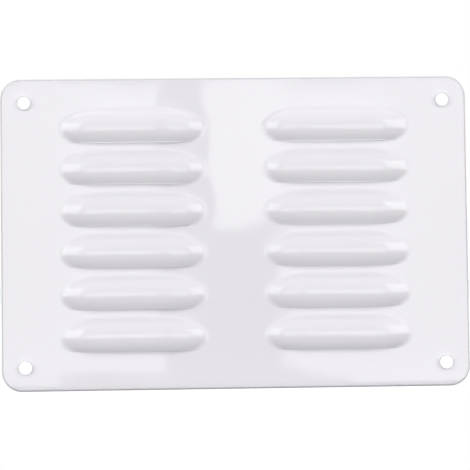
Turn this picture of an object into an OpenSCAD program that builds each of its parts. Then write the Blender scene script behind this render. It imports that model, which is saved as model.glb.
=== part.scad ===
// Louvred vent cover, pressed from one steel sheet.
// Two columns of hoods stand out of the sheet and open downwards, so that air passes and rain
// runs off. A plain screw hole sits in each corner.
// The cover stands upright as on a wall: its back lies in the plane Y = 0, its front looks
// along -Y, and the origin is the middle of the back.

/* [Sheet] */
// Width of the cover
cover_w = 228.6; // [200:0.1:300]
// Height of the cover
cover_h = 152.4; // [145:0.1:220]
// Thickness of the steel sheet
sheet_t = 1; // [0.6:0.05:1.5]
// Radius of the four corners, seen from the front
corner_r = 9.8; // [4:0.1:14]
// Radius of the rolled edge all round the front
rolled_edge_r = 0.55; // [0.2:0.05:0.6]

/* [Louvres] */
// Number of louvres side by side
columns = 2; // [1:1:2]
// Number of louvres one above the other
rows = 6; // [1:1:6]
// Distance between the middles of neighbouring columns
column_pitch = 100; // [80:0.5:110]
// Distance from one lip to the next one below
row_pitch = 20.4; // [19:0.1:21]
// How far the middle of the pattern lies above the middle of the cover
pattern_rise = 2.5; // [0:0.1:5]
// Width of a louvre, over the bends at its ends
louvre_w = 74; // [64:0.5:78]
// Height of a louvre, from its lip to the bend above it
louvre_h = 17.4; // [15:0.1:18]
// Length of the straight part in the middle of a louvre
straight_w = 30; // [2:0.5:36]
// How far the hood stands out of the sheet
projection = 5; // [4:0.1:6.5]
// Height of the hood's crest above its lip
crest_rise = 7; // [5:0.1:7.5]
// Radius of the bend where the sheet turns into the hood
bend_r = 2.2; // [1.5:0.1:2.6]

/* [Screw holes] */
// Diameter of a screw hole
hole_d = 6.4; // [4:0.1:8]
// Distance from a hole's middle to the two edges next to it
hole_inset = 11.65; // [8:0.05:14]

/* [Hidden] */
$fn = 48;
ENAMEL = [0.93, 0.92, 0.94];

// Height of the hood's dome above its crest line, out to the end of the bend
dome_h = louvre_h - crest_rise;
// Width of one rounded end of the dome, out to the end of the bend
dome_end_w = (louvre_w - straight_w) / 2;
// The round section of the hood is a circle that meets the bend without a kink
hood_r = (dome_h * dome_h / projection + projection) / 2 - bend_r;
// Height of that circle's centre over the back of the sheet: it lies behind the cover
hood_centre_z = sheet_t + projection - hood_r;
// Place of the lowest lip below the middle of the cover
first_lip_y = pattern_rise - ((rows - 1) * row_pitch + louvre_h) / 2;
// Height of the bend's centre over the back of the sheet. The bend dips below the skin by
// bend_dip, so that the two cross at an angle.
bend_dip = 0.03;
bend_z = sheet_t + bend_r - bend_dip;
// Reach of the cutting blocks past the metal
past = 1;
// Facets in a full turn of the hood's arc, of its bend and of its drawn-out ends
hood_facets = 24;
bend_facets = 16;
end_facets = 20;

// Section across a flat bar of the sheet, with both front edges rolled. The rolled edges are
// kept in front of the back, because their circles are wider than the sheet is thick.
module sheet_section(width) {
    translate([-width / 2, 0]) square([width, sheet_t - rolled_edge_r]);
    translate([rolled_edge_r - width / 2, 0]) square([width - 2 * rolled_edge_r, sheet_t]);
    intersection() {
        translate([-width / 2, 0]) square([width, sheet_t]);
        for (side = [-1, 1])
            translate([side * (width / 2 - rolled_edge_r), sheet_t - rolled_edge_r])
                circle(r = rolled_edge_r);
    }
}

// One round corner of the sheet, as a disc with the same rolled edge
module corner_disc() {
    rotate_extrude()
        intersection() {
            sheet_section(2 * corner_r);
            square([corner_r, sheet_t]);
        }
}

// The flat sheet: two crossed bars and four corner discs
module sheet() {
    long = cover_w - 2 * corner_r;
    tall = cover_h - 2 * corner_r;
    rotate([90, 0, 90])
        linear_extrude(long, center = true) sheet_section(cover_h);
    rotate([90, 0, 0])
        linear_extrude(tall, center = true) sheet_section(cover_w);
    for (x = [-1, 1], y = [-1, 1])
        translate([x * long / 2, y * tall / 2]) corner_disc();
}

// Half the section of a dome, standing on the level foot_z.
// skin is 0 for the outside of the hood and sheet_t for its inside.
module dome_half_section(skin, foot_z) {
    arc_r = hood_r - skin;
    bend = bend_r + skin;
    meet_x = dome_h * arc_r / (hood_r + bend_r);
    meet_z = hood_centre_z + (bend_z - hood_centre_z) * arc_r / (hood_r + bend_r);
    intersection() {
        translate([0, hood_centre_z]) circle(r = arc_r, $fn = hood_facets);
        translate([0, foot_z]) square([meet_x, 2 * hood_r]);
    }
    difference() {
        polygon([[0, foot_z], [dome_h, foot_z], [dome_h, bend_z - bend], [meet_x, meet_z], [0, meet_z]]);
        translate([dome_h, bend_z]) circle(r = bend, $fn = bend_facets);
    }
}

// A whole dome: round at first, with a short straight middle, then drawn out to its width
module dome(skin, foot_z) {
    resize([louvre_w, 0, 0])
        for (side = [0, 1])
            mirror([side, 0, 0]) {
                rotate([90, 0, 90])
                    linear_extrude(straight_w / 2 * dome_h / dome_end_w)
                        for (half = [0, 1]) mirror([half, 0]) dome_half_section(skin, foot_z);
                translate([straight_w / 2 * dome_h / dome_end_w, 0, 0])
                    rotate_extrude(angle = 180, start = -90, $fn = end_facets)
                        dome_half_section(skin, foot_z);
            }
}

// What a hood keeps of its dome: all that lies above the lip
module above_lip() {
    intersection() {
        children();
        translate([-louvre_w, -crest_rise, -past])
            cube([2 * louvre_w, louvre_h + past, sheet_t + projection + 2 * past]);
    }
}

// Repeats its children at the crest of each louvre
module louvre_pattern() {
    for (column = [0 : columns - 1], row = [0 : rows - 1])
        translate([
            (column - (columns - 1) / 2) * column_pitch,
            first_lip_y + row * row_pitch + crest_rise
        ])
            children();
}

module louvred_cover() {
    color(ENAMEL)
        rotate([90, 0, 0])
            difference() {
                union() {
                    sheet();
                    louvre_pattern() above_lip() dome(0, sheet_t / 2);
                }
                louvre_pattern() above_lip() dome(sheet_t, -past);
                for (x = [-1, 1], y = [-1, 1])
                    translate([x * (cover_w / 2 - hole_inset), y * (cover_h / 2 - hole_inset), -past])
                        cylinder(d = hole_d, h = sheet_t + 2 * past);
            }
}

louvred_cover();
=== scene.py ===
from math import pi, radians, sin

import bpy
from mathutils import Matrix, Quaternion, Vector


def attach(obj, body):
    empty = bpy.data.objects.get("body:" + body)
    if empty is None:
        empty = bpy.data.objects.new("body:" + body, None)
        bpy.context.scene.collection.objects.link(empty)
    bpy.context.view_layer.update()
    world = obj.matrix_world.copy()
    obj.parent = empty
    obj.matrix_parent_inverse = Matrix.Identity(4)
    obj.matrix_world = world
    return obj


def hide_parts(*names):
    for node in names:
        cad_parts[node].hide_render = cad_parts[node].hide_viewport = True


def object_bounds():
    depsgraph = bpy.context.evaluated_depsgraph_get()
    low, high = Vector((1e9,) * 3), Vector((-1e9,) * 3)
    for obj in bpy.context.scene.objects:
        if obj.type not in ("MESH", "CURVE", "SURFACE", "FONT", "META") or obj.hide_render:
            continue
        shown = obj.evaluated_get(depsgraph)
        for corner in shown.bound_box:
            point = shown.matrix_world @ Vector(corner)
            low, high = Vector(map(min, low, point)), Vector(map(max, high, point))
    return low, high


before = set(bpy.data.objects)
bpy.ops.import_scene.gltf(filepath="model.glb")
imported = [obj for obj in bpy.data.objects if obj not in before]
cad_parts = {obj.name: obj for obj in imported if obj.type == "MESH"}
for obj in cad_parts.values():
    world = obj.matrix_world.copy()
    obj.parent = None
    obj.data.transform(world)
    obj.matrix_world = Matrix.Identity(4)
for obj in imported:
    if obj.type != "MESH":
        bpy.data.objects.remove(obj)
cad_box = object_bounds()

# The louvred cover is one sheet of mild steel with a rolled edge and four punched screw holes.
# The press lances it along twelve lines and draws the metal above each line out into a hood
# that opens downwards. All of it is then coated with white enamel.
SHEET_SIZES = {
    "Cover width": 0.2286,
    "Cover height": 0.1524,
    "Sheet thickness": 0.001,
    "Corner radius": 0.0098,
    "Rolled edge width": 0.0011,
    "Rolled edge depth": 0.0009,
    "Columns": 2,
    "Rows": 6,
    "Column pitch": 0.100,
    "Row pitch": 0.0204,
    "Pattern rise": 0.0025,
    "Louvre width": 0.074,
    "Louvre height": 0.0174,
    "Straight width": 0.030,
    "Projection": 0.005,
    "Crest rise": 0.007,
    "Bend radius": 0.0022,
    "Hole diameter": 0.0064,
    "Hole inset": 0.01165,
    "Hole edge width": 0.0004,
    "Hole edge depth": 0.0009,
}

# The tree draws the sheet's front skin lying flat, its front up, and stands it up at the end.
pressing = bpy.data.node_groups.new("pressed_front_skin", "GeometryNodeTree")
pressing.interface.new_socket("Geometry", in_out="INPUT", socket_type="NodeSocketGeometry")
pressing.interface.new_socket("Geometry", in_out="OUTPUT", socket_type="NodeSocketGeometry")
size_socket = {
    name: pressing.interface.new_socket(
        name,
        in_out="INPUT",
        socket_type="NodeSocketInt" if isinstance(value, int) else "NodeSocketFloat",
    )
    for name, value in SHEET_SIZES.items()
}
# The second material greys the edges as painted shade
material_socket = {
    name: pressing.interface.new_socket(name, in_out="INPUT", socket_type="NodeSocketMaterial")
    for name in ("Enamel", "Edge shade enamel")
}
given = pressing.nodes.new("NodeGroupInput")


def put(kind, settings=None, **inputs):
    """Adds a node. Each input is named in small letters and is a socket, a Number or a value."""
    node = pressing.nodes.new(kind)
    for name, value in (settings or {}).items():
        setattr(node, name, value)
    for name, value in inputs.items():
        socket = next(
            s for s in node.inputs if s.enabled and s.name.lower().replace(" ", "_") == name
        )
        for one in value if isinstance(value, list) else [value]:
            one = one.socket if isinstance(one, Number) else one
            if isinstance(one, bpy.types.NodeSocket):
                pressing.links.new(one, socket)
            else:
                socket.default_value = one
    return node


class Number:
    """A number on its way through the tree, so that the sheet's rules read as plain sums."""

    def __init__(self, socket):
        self.socket = socket

    def __add__(self, other):
        return sum_of("ADD", self, other)

    def __sub__(self, other):
        return sum_of("SUBTRACT", self, other)

    def __rsub__(self, other):
        return sum_of("SUBTRACT", other, self)

    def __mul__(self, other):
        return sum_of("MULTIPLY", self, other)

    def __truediv__(self, other):
        return sum_of("DIVIDE", self, other)

    def __neg__(self):
        return sum_of("MULTIPLY", self, -1)

    def __pow__(self, other):
        return sum_of("POWER", self, other)


def sum_of(operation, *terms):
    """A Math node with these terms."""
    node = pressing.nodes.new("ShaderNodeMath")
    node.operation = operation
    for term, socket in zip(terms, node.inputs):
        if isinstance(term, Number):
            pressing.links.new(term.socket, socket)
        else:
            socket.default_value = term
    return Number(node.outputs[0])


def root(x):
    return sum_of("SQRT", x)


def point(x, y, z=0.0):
    return put("ShaderNodeCombineXYZ", x=x, y=y, z=z).outputs[0]


size = {name: Number(given.outputs[name]) for name in SHEET_SIZES}

# A hood is half a round dome that is stretched sideways, with a short straight part between
# its ends. It is laid out round, about the middle of its crest line, and then stretched.
dome_h = size["Louvre height"] - size["Crest rise"]
dome_end_w = (size["Louvre width"] - size["Straight width"]) / 2
half_straight = size["Straight width"] / 2 * dome_h / dome_end_w
hood_r = (dome_h * dome_h / size["Projection"] + size["Projection"]) / 2 - size["Bend radius"]
bend_starts = dome_h * hood_r / (hood_r + size["Bend radius"])
half_lip = half_straight + root(dome_h * dome_h - size["Crest rise"] * size["Crest rise"])

HOOD_COLUMNS, HOOD_ROWS = 97, 29
# Share of the columns that the straight part takes, and how much closer the rows lie near the
# bend than near the lip
STRAIGHT_SHARE = 0.16
CROWDING = 1.8
hood = put("GeometryNodeMeshGrid", vertices_x=HOOD_COLUMNS, vertices_y=HOOD_ROWS)
across = put("ShaderNodeSeparateXYZ", vector=hood.outputs["UV Map"])
side = Number(across.outputs["X"]) * 2 - 1
off_middle = sum_of("ABSOLUTE", side)
up_the_hood = Number(across.outputs["Y"])

# The dome's foot: straight at first, then round until it meets the end of the lip
along_straight = sum_of("MINIMUM", off_middle / STRAIGHT_SHARE, 1.0)
along_round = sum_of("MAXIMUM", off_middle - STRAIGHT_SHARE, 0.0) / (1 - STRAIGHT_SHARE)
quarter = radians(90)
turn = quarter - along_round * (sum_of("ARCSINE", size["Crest rise"] / dome_h) + quarter)
foot_x = half_straight * along_straight + dome_h * sum_of("COSINE", turn)
foot_y = dome_h * sum_of("SINE", turn)

# Each line of the hood runs up from the lip to the foot, with more points near the bend
lip_x = half_lip * off_middle * (2 - off_middle)
lip_y = -size["Crest rise"]
climb = 1 - (1 - up_the_hood) ** CROWDING
hood_x = lip_x + (foot_x - lip_x) * climb
hood_y = lip_y + (foot_y - lip_y) * climb

# The hood's height over the sheet: a round arc that runs out into the bend
past_straight = sum_of("MAXIMUM", hood_x - half_straight, 0.0)
from_crest = root(past_straight * past_straight + hood_y * hood_y)
arc = size["Projection"] - hood_r + root(hood_r * hood_r - from_crest * from_crest)
to_foot = dome_h - from_crest
bend = size["Bend radius"] - root(size["Bend radius"] * size["Bend radius"] - to_foot * to_foot)
on_arc = put("FunctionNodeCompare", {"operation": "LESS_THAN"}, a=from_crest, b=bend_starts)
height = put(
    "GeometryNodeSwitch",
    {"input_type": "FLOAT"},
    switch=on_arc.outputs[0],
    false=bend,
    true=arc,
).outputs[0]
hood = put(
    "GeometryNodeSetPosition",
    geometry=hood.outputs["Mesh"],
    position=point(hood_x * dome_end_w / dome_h * sum_of("SIGN", side), hood_y, height),
)

# The opening that a hood leaves in the flat sheet: its foot, closed by the lanced line
LAST_ROW = 1 - 0.5 / HOOD_ROWS
at_foot = put(
    "FunctionNodeCompare", {"operation": "GREATER_THAN"}, a=up_the_hood, b=LAST_ROW
).outputs[0]
opening = put("GeometryNodeMeshToCurve", mesh=hood.outputs[0], selection=at_foot)
opening = put("GeometryNodeSetSplineCyclic", geometry=opening.outputs[0], cyclic=True)

# Both repeat in columns and rows
crests = put(
    "GeometryNodeMeshGrid",
    size_x=(size["Columns"] - 1) * size["Column pitch"],
    size_y=(size["Rows"] - 1) * size["Row pitch"],
    vertices_x=size["Columns"],
    vertices_y=size["Rows"],
)
crests = put(
    "GeometryNodeTransform",
    geometry=crests.outputs["Mesh"],
    translation=point(0.0, size["Pattern rise"] + size["Crest rise"] - size["Louvre height"] / 2),
)
hoods = put("GeometryNodeInstanceOnPoints", points=crests.outputs[0], instance=hood.outputs[0])
openings = put(
    "GeometryNodeInstanceOnPoints", points=crests.outputs[0], instance=opening.outputs[0]
)

# Edges are rolled over on the front, along a quarter of an ellipse. An edge is a band of narrow
# strips that grows out of the line where the roll starts, and each point keeps how far it drops.
ROLL_STRIPS = 7


def rolled_band(line, width, drop, away_x, away_y, to_edge):
    """The band along a line, growing along (away_x, away_y), and to_edge from the cut edge."""
    band = put("GeometryNodeCurveToMesh", curve=line).outputs[0]
    last = True
    for strip in range(ROLL_STRIPS):
        ends = [sin(radians(90) * (strip + end) / ROLL_STRIPS) for end in (0, 1)]
        step = width * (ends[1] - ends[0])
        grown = put(
            "GeometryNodeExtrudeMesh",
            {"mode": "EDGES"},
            mesh=band,
            selection=last,
            offset=point(away_x * step, away_y * step),
        )
        band = grown.outputs["Mesh"]
        last = grown.outputs["Top"]
    over = 1 - sum_of("MINIMUM", sum_of("MAXIMUM", to_edge / width, 0.0), 1.0)
    return put(
        "GeometryNodeStoreNamedAttribute",
        {"data_type": "FLOAT"},
        geometry=band,
        name="drop",
        value=drop * (1 - root(1 - over * over)),
    ).outputs[0]


position = put("GeometryNodeInputPosition").outputs[0]
at = put("ShaderNodeSeparateXYZ", vector=position)
at_x, at_y = Number(at.outputs["X"]), Number(at.outputs["Y"])

# The blank, up to where its edge starts to roll
CORNER_POINTS = 20
roll = size["Rolled edge width"]
blank = put(
    "GeometryNodeCurvePrimitiveQuadrilateral",
    width=size["Cover width"] - roll * 2,
    height=size["Cover height"] - roll * 2,
)
blank = put(
    "GeometryNodeFilletCurve",
    {"mode": "POLY"},
    curve=blank.outputs[0],
    count=CORNER_POINTS,
    radius=size["Corner radius"] - roll,
)


def past_straight_edge(along, length):
    """How far a point lies past the end of a straight edge, where the corner's turn starts."""
    return sum_of("MAXIMUM", sum_of("ABSOLUTE", along) - length / 2 + size["Corner radius"], 0.0)


beyond_x = past_straight_edge(at_x, size["Cover width"])
beyond_y = past_straight_edge(at_y, size["Cover height"])
beyond = root(beyond_x * beyond_x + beyond_y * beyond_y)
edge_band = rolled_band(
    blank.outputs[0],
    roll,
    size["Rolled edge depth"],
    beyond_x / beyond * sum_of("SIGN", at_x),
    beyond_y / beyond * sum_of("SIGN", at_y),
    size["Corner radius"] - beyond,
)

# The four punched holes
HOLE_POINTS = 48
hole_edge = size["Hole edge width"]
corners = put(
    "GeometryNodeCurvePrimitiveQuadrilateral",
    width=size["Cover width"] - size["Hole inset"] * 2,
    height=size["Cover height"] - size["Hole inset"] * 2,
)
hole = put(
    "GeometryNodeCurvePrimitiveCircle",
    resolution=HOLE_POINTS,
    radius=size["Hole diameter"] / 2 + hole_edge,
)
from_middle = root(at_x * at_x + at_y * at_y)
hole_band = rolled_band(
    hole.outputs[0],
    hole_edge,
    size["Hole edge depth"],
    -at_x / from_middle,
    -at_y / from_middle,
    from_middle - size["Hole diameter"] / 2,
)
holes = put("GeometryNodeInstanceOnPoints", points=corners.outputs[0], instance=hole.outputs[0])
hole_bands = put("GeometryNodeInstanceOnPoints", points=corners.outputs[0], instance=hole_band)

outlines = put(
    "GeometryNodeJoinGeometry",
    geometry=[blank.outputs[0], openings.outputs[0], holes.outputs[0]],
)
outlines = put("GeometryNodeRealizeInstances", geometry=outlines.outputs[0])
flat = put("GeometryNodeFillCurve", {"mode": "TRIANGLES"}, curve=outlines.outputs[0])
skin = put(
    "GeometryNodeJoinGeometry",
    geometry=[flat.outputs[0], edge_band, hole_bands.outputs[0], hoods.outputs[0]],
)
skin = put("GeometryNodeRealizeInstances", geometry=skin.outputs[0])
SEAM = 5e-6
skin = put("GeometryNodeMergeByDistance", geometry=skin.outputs[0], distance=SEAM)
skin = put(
    "GeometryNodeTransform",
    geometry=skin.outputs[0],
    translation=point(0.0, 0.0, size["Sheet thickness"]),
)

# The skin is the sheet's front. The back lies one sheet thickness behind it, and walls along
# every cut edge join the two.
kept = pressing.nodes.new("GeometryNodeCaptureAttribute")
kept.capture_items.new("VECTOR", "Place")
kept.capture_items.new("VECTOR", "Facing")
kept.capture_items.new("FLOAT", "Drop")
pressing.links.new(skin.outputs[0], kept.inputs["Geometry"])
pressing.links.new(position, kept.inputs["Place"])
pressing.links.new(put("GeometryNodeInputNormal").outputs[0], kept.inputs["Facing"])
stored_drop = put("GeometryNodeInputNamedAttribute", {"data_type": "FLOAT"}, name="drop")
pressing.links.new(stored_drop.outputs[0], kept.inputs["Drop"])
dropped = Number(kept.outputs["Drop"])


def behind(depth):
    """The point this deep under the skin."""
    down = put(
        "ShaderNodeVectorMath", {"operation": "SCALE"}, vector=kept.outputs["Facing"], scale=-depth
    )
    moved = pressing.nodes.new("ShaderNodeVectorMath")
    pressing.links.new(kept.outputs["Place"], moved.inputs[0])
    pressing.links.new(down.outputs[0], moved.inputs[1])
    return moved.outputs[0]


front = put(
    "GeometryNodeSetPosition", geometry=kept.outputs["Geometry"], position=behind(dropped)
)
faces_beside = put("GeometryNodeInputMeshEdgeNeighbors")
cut_edge = put(
    "FunctionNodeCompare",
    {"data_type": "INT", "operation": "EQUAL"},
    a=faces_beside.outputs[0],
    b=1,
).outputs[0]
walled = put(
    "GeometryNodeExtrudeMesh",
    {"mode": "EDGES"},
    mesh=front.outputs[0],
    selection=cut_edge,
    offset_scale=0.0,
)
walled_sides = walled.outputs["Side"]
walled = put(
    "GeometryNodeSetPosition",
    geometry=walled.outputs["Mesh"],
    selection=walled.outputs["Top"],
    position=behind(size["Sheet thickness"]),
)
back = put(
    "GeometryNodeSetPosition",
    geometry=kept.outputs["Geometry"],
    position=behind(size["Sheet thickness"]),
)
back = put("GeometryNodeFlipFaces", mesh=back.outputs[0])
sheet = put("GeometryNodeJoinGeometry", geometry=[walled.outputs[0], back.outputs[0]])
sheet = put("GeometryNodeMergeByDistance", geometry=sheet.outputs[0], distance=SEAM)
sheet = put("GeometryNodeRemoveAttribute", geometry=sheet.outputs[0], name="drop")
stood_up = put("GeometryNodeTransform", geometry=sheet.outputs[0])
stood_up.inputs["Rotation"].default_value = (radians(90), 0, 0)

# Smooth all over, apart from the cut edges
CREASE = radians(35)
smooth = put("GeometryNodeSetShadeSmooth", geometry=stood_up.outputs[0])
bent = put("GeometryNodeInputMeshEdgeAngle")
crease = put(
    "FunctionNodeCompare", {"operation": "GREATER_THAN"}, a=bent.outputs[0], b=CREASE
).outputs[0]
smooth = put(
    "GeometryNodeSetShadeSmooth",
    {"domain": "EDGE"},
    geometry=smooth.outputs[0],
    selection=crease,
    shade_smooth=False,
)
coated = put(
    "GeometryNodeSetMaterial", geometry=smooth.outputs[0], material=given.outputs["Enamel"]
)

# The cut edges, and the rolled ones from this drop on, take the greyed edge enamel: painted shade
# along the outline and the hole rims
EDGE_SHADE_FROM = 0.00005
rolled = put(
    "FunctionNodeCompare", {"operation": "GREATER_THAN"}, a=dropped, b=EDGE_SHADE_FROM
).outputs[0]
for shaded_edges in (walled_sides, rolled):
    coated = put(
        "GeometryNodeSetMaterial",
        geometry=coated.outputs[0],
        selection=shaded_edges,
        material=given.outputs["Edge shade enamel"],
    )
pressed = pressing.nodes.new("NodeGroupOutput")
pressing.links.new(coated.outputs[0], pressed.inputs[0])

ENAMEL_COLOUR = (0.85, 0.833, 0.88, 1)
ENAMEL_SHADE = (0.832, 0.814, 0.862, 1)
enamel = bpy.data.materials.new("white_enamel")
enamel.use_nodes = True
paint = enamel.node_tree.nodes
wires = enamel.node_tree.links
coat = paint["Principled BSDF"]
coat.inputs["Roughness"].default_value = 0.04
coat.inputs["IOR"].default_value = 1.5
on_the_metal = paint.new("ShaderNodeTexCoord")


def cloud(scale, detail):
    """A soft noise over the metal, with this many waves to the metre."""
    noise = paint.new("ShaderNodeTexNoise")
    noise.inputs["Scale"].default_value = scale
    noise.inputs["Detail"].default_value = detail
    wires.new(on_the_metal.outputs["Object"], noise.inputs["Vector"])
    return noise.outputs["Fac"]


# The colour drifts a little, the film has the faint peel of sprayed enamel, and the sheet is
# never quite flat after pressing.
tone = paint.new("ShaderNodeMix")
tone.data_type = "RGBA"
tone.inputs["A"].default_value = ENAMEL_SHADE
tone.inputs["B"].default_value = ENAMEL_COLOUR
wires.new(cloud(18, 2), tone.inputs["Factor"])
wires.new(tone.outputs["Result"], coat.inputs["Base Color"])
normal = None
for waves, depth, share in ((22, 0.0006, 0.5), (900, 0.00002, 0.10)):
    bump = paint.new("ShaderNodeBump")
    bump.inputs["Distance"].default_value = depth
    bump.inputs["Strength"].default_value = share
    wires.new(cloud(waves, 1), bump.inputs["Height"])
    if normal:
        wires.new(normal, bump.inputs["Normal"])
    normal = bump.outputs["Normal"]
wires.new(normal, coat.inputs["Normal"])

# The edge enamel is duller and greyer than the rest; its grey colour is painted shade along the
# edges
PAINTED_EDGE_SHADE = (0.72, 0.705, 0.745, 1)
edge_shade_enamel = enamel.copy()
edge_shade_enamel.name = "thin_white_enamel"
edge_shade_coat = edge_shade_enamel.node_tree.nodes["Principled BSDF"]
edge_shade_enamel.node_tree.links.remove(edge_shade_coat.inputs["Base Color"].links[0])
edge_shade_coat.inputs["Base Color"].default_value = PAINTED_EDGE_SHADE
edge_shade_coat.inputs["Roughness"].default_value = 0.6
edge_shade_coat.inputs["Specular IOR Level"].default_value = 0.1

blank_mesh = bpy.data.meshes.new("louvred_sheet")
cover = bpy.data.objects.new("louvred_sheet", blank_mesh)
bpy.context.scene.collection.objects.link(cover)
press = cover.modifiers.new("press", "NODES")
press.node_group = pressing
for name, value in SHEET_SIZES.items():
    press[size_socket[name].identifier] = value
press[material_socket["Enamel"].identifier] = enamel
# The edge material carries the painted shade along the edges
press[material_socket["Edge shade enamel"].identifier] = edge_shade_enamel
level = cover.modifiers.new("shading", "WEIGHTED_NORMAL")
level.weight = 100
level.keep_sharp = True
depsgraph = bpy.context.evaluated_depsgraph_get()
finished = bpy.data.meshes.new_from_object(cover.evaluated_get(depsgraph))
cover.modifiers.clear()
cover.data = finished
finished.name = "louvred_sheet"
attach(cover, "root")
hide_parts("louvred_cover")

# The floor is a plain pale sheet, and the cover stands close to its front edge. It is no part of
# the object: it shows white in the picture and keeps the soft shadow.
FLOOR_SIZE = 8
FLOOR_IN_FRONT = 0.03
FLOOR_PLACE = (0, FLOOR_SIZE / 2 - FLOOR_IN_FRONT, cad_box[0].z)
FLOOR_COLOUR = (0.25, 0.25, 0.255, 1)
FLOOR_GLOW = 0.9
bpy.ops.mesh.primitive_plane_add(size=FLOOR_SIZE, location=FLOOR_PLACE)
floor = bpy.context.object
floor.name = "floor"
pale = bpy.data.materials.new("pale_floor")
pale.use_nodes = True
nodes, links = pale.node_tree.nodes, pale.node_tree.links
matt = nodes["Principled BSDF"]
matt.inputs["Base Color"].default_value = FLOOR_COLOUR
matt.inputs["Roughness"].default_value = 1
matt.inputs["Specular IOR Level"].default_value = 0
floor.data.materials.append(pale)


def seen_directly(nodes, links):
    """1 for rays from the camera and for what gloss and glass show, and 0 for the rest."""
    path = nodes.new("ShaderNodeLightPath")
    seen = path.outputs["Is Camera Ray"]
    for ray in ("Is Glossy Ray", "Is Transmission Ray"):
        either = nodes.new("ShaderNodeMath")
        either.operation = "MAXIMUM"
        links.new(seen, either.inputs[0])
        links.new(path.outputs[ray], either.inputs[1])
        seen = either.outputs[0]
    return seen


lift = nodes.new("ShaderNodeMath")
lift.operation = "MULTIPLY"
lift.inputs[1].default_value = FLOOR_GLOW
links.new(seen_directly(nodes, links), lift.inputs[0])
matt.inputs["Emission Color"].default_value = (1, 1, 1, 1)
links.new(lift.outputs[0], matt.inputs["Emission Strength"])

# The light comes from soft boxes as in a product studio, at a plain level, with a white room
# round them. The gloss of the enamel shows them as bright fields with clear edges.
world = bpy.data.worlds.new("studio")
bpy.context.scene.world = world
world.use_nodes = True
nodes, links = world.node_tree.nodes, world.node_tree.links
room = nodes["Background"]
ROOM_LIGHT = 0.08
glow = nodes.new("ShaderNodeMapRange")
glow.inputs["To Min"].default_value = ROOM_LIGHT
glow.inputs["To Max"].default_value = 1
links.new(seen_directly(nodes, links), glow.inputs["Value"])
room.inputs["Color"].default_value = (1, 1, 1, 1)
links.new(glow.outputs["Result"], room.inputs["Strength"])


def soft_box(name, centre, width, height, radiance, aim=(0, 0, 0)):
    """A rectangular lamp that looks at aim and shines with this radiance."""
    lamp = bpy.data.lights.new(name, "AREA")
    lamp.shape = "RECTANGLE"
    lamp.size, lamp.size_y = width, height
    lamp.energy = radiance * width * height * pi
    box = bpy.data.objects.new(name, lamp)
    box.location = centre
    box.rotation_mode = "QUATERNION"
    box.rotation_quaternion = (Vector(aim) - Vector(centre)).to_track_quat("-Z", "Y")
    bpy.context.scene.collection.objects.link(box)


# The flat plate shows the front panels, which leave a gap low in the middle
FRONT_Y = -1.5
for name, left, right, low, high, radiance in (
    ("front_left", -0.80, -0.09, -0.19, 0.32, 2.3),
    ("front_middle", 0.0, 0.12, 0.07, 0.32, 2.9),
    ("front_right", 0.12, 0.85, -0.19, 0.32, 2.25),
    ("foot_left", -0.80, -0.27, -0.30, -0.19, 1.9),
    ("foot_right", 0.24, 0.85, -0.30, -0.19, 2.6),
):
    middle = Vector(((left + right) / 2, 0, (low + high) / 2))
    soft_box(name, middle + Vector((0, FRONT_Y, 0)), right - left, high - low, radiance, middle)

# The ends of the hoods show the lamps at the sides, and their upper bends the strip overhead
soft_box("left", (-1.32, -0.96, 0.45), 1.2, 1.3, 3.2)
soft_box("right", (1.32, -0.96, 0.45), 1.2, 1.3, 3.15)
soft_box("ceiling", (0, -1.1, 1.2), 2.6, 2.1, 0.22)
soft_box("strip", (0, 0, 1.0), 1.4, 0.06, 4.0)

# The back has a dim lamp of its own, for a look from behind
soft_box("behind", (0, 1.6, 0.9), 2.0, 1.5, 1.3)

# The camera looks nearly square on to the cover, a little from the left and from below, and is
# turned by under a degree, as in the photograph.
CAMERA_PLACE = Vector((-0.0161, -0.6001, -0.0209))
CAMERA_AIM = Vector((-0.00018, 0, -0.00111))
CAMERA_TURN = Quaternion((0, 0, 1), radians(-0.72))
lens = bpy.data.cameras.new("camera")
lens.lens = 93.8
lens.sensor_width = 36
camera = bpy.data.objects.new("camera", lens)
camera.location = CAMERA_PLACE
camera.rotation_mode = "QUATERNION"
look = (CAMERA_AIM - CAMERA_PLACE).to_track_quat("-Z", "Y")
camera.rotation_quaternion = look @ CAMERA_TURN
bpy.context.scene.collection.objects.link(camera)
bpy.context.scene.camera = camera
bpy.context.scene.view_settings.view_transform = "Standard"
